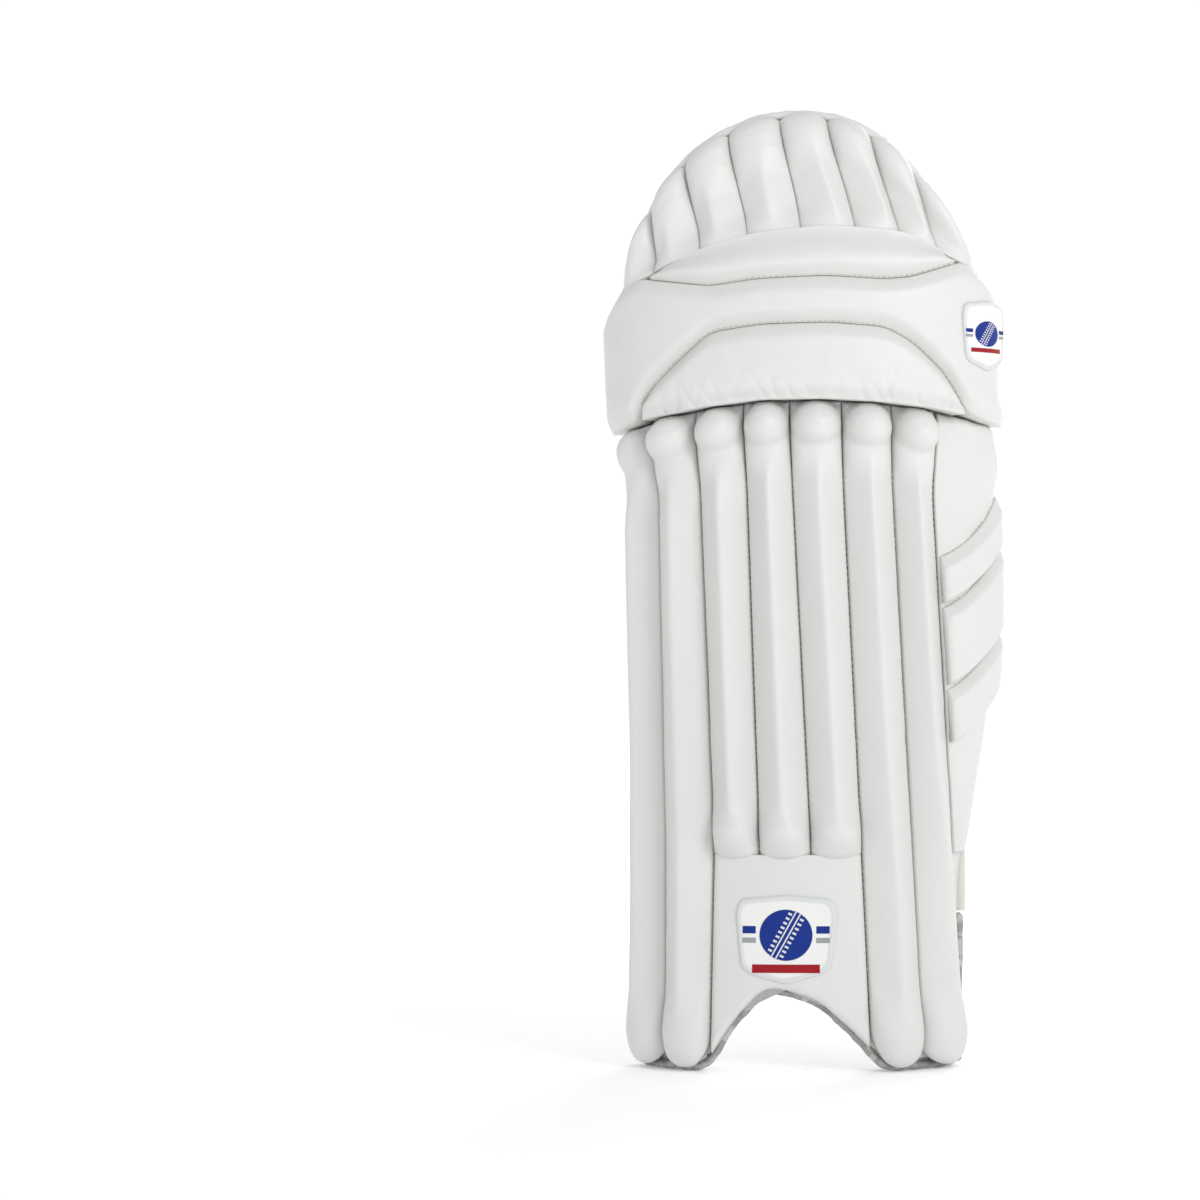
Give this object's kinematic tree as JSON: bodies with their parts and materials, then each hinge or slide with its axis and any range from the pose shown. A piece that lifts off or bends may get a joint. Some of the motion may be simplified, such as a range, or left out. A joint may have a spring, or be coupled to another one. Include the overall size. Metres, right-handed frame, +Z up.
{
  "type": "batting pad",
  "caption": "Leg guard of upright padded canes with a banded knee roll, a domed thigh top and a side wing, lined with soft bolsters and closed by hook-and-loop straps through rings.",
  "frame": {"origin": "on the floor under the middle of the standing pad's bounding box", "axes": "+Z up the shin, -Y out of the front, +X towards the outer side of the leg, where the wing is"},
  "size_m": [0.315, 0.1012, 0.7396],
  "materials": {
    "leather_white": "smooth, softly glossy coated leather",
    "mesh_white": "open spacer mesh",
    "webbing_white": "twilled webbing",
    "lining_cloth": "brushed lining",
    "lining_print": "printed lining in blue, red and silver-grey",
    "strip_blue": "smooth coated strip",
    "ring_white": "gloss",
    "tab_grey": "matt",
    "badge_white": "moulded, satin",
    "binding_silver": "soft metallic tape"
  },
  "bodies": {
    "root": {"ankle_ring": "ring_white", "ankle_strap": "webbing_white", "ankle_strap_stub": "webbing_white", "ankle_tab": "tab_grey", "backing": "leather_white", "calf_patch": "badge_white", "calf_ring": "ring_white", "calf_strap": "webbing_white", "calf_strap_stub": "webbing_white", "cane_1": "leather_white", "cane_2": "leather_white", "cane_3": "leather_white", "cane_4": "leather_white", "cane_5": "leather_white", "cane_6": "leather_white", "cane_7": "leather_white", "centre_strip": "strip_blue", "dome_welt": "leather_white", "foot_bolster_inner": "mesh_white", "foot_bolster_outer": "mesh_white", "instep_badge": "badge_white", "instep_lining": "mesh_white", "instep_panel": "leather_white", "knee_badge": "badge_white", "knee_band_lower": "leather_white", "knee_band_middle": "leather_white", "knee_band_upper": "leather_white", "knee_bolster_inner": "mesh_white", "knee_bolster_middle": "lining_cloth", "knee_bolster_outer": "mesh_white", "knee_ring": "ring_white", "knee_strap": "webbing_white", "knee_strap_stub": "webbing_white", "knee_tab": "tab_grey", "lower_binding": "binding_silver", "shin_bolster_inner": "mesh_white", "shin_bolster_outer": "mesh_white", "side_binding_inner": "binding_silver", "side_binding_outer": "binding_silver", "top_lining": "lining_print", "top_roll_1": "leather_white", "top_roll_2": "leather_white", "top_roll_3": "leather_white", "top_roll_4": "leather_white", "top_roll_5": "leather_white", "top_roll_6": "leather_white", "top_roll_7": "leather_white", "top_roll_8": "leather_white", "wing_lining_inner": "lining_cloth", "wing_lining_outer": "lining_cloth", "wing_panel": "leather_white", "wing_rib_lower": "leather_white", "wing_rib_middle": "leather_white", "wing_rib_upper": "leather_white"}
  },
  "joints": []
}
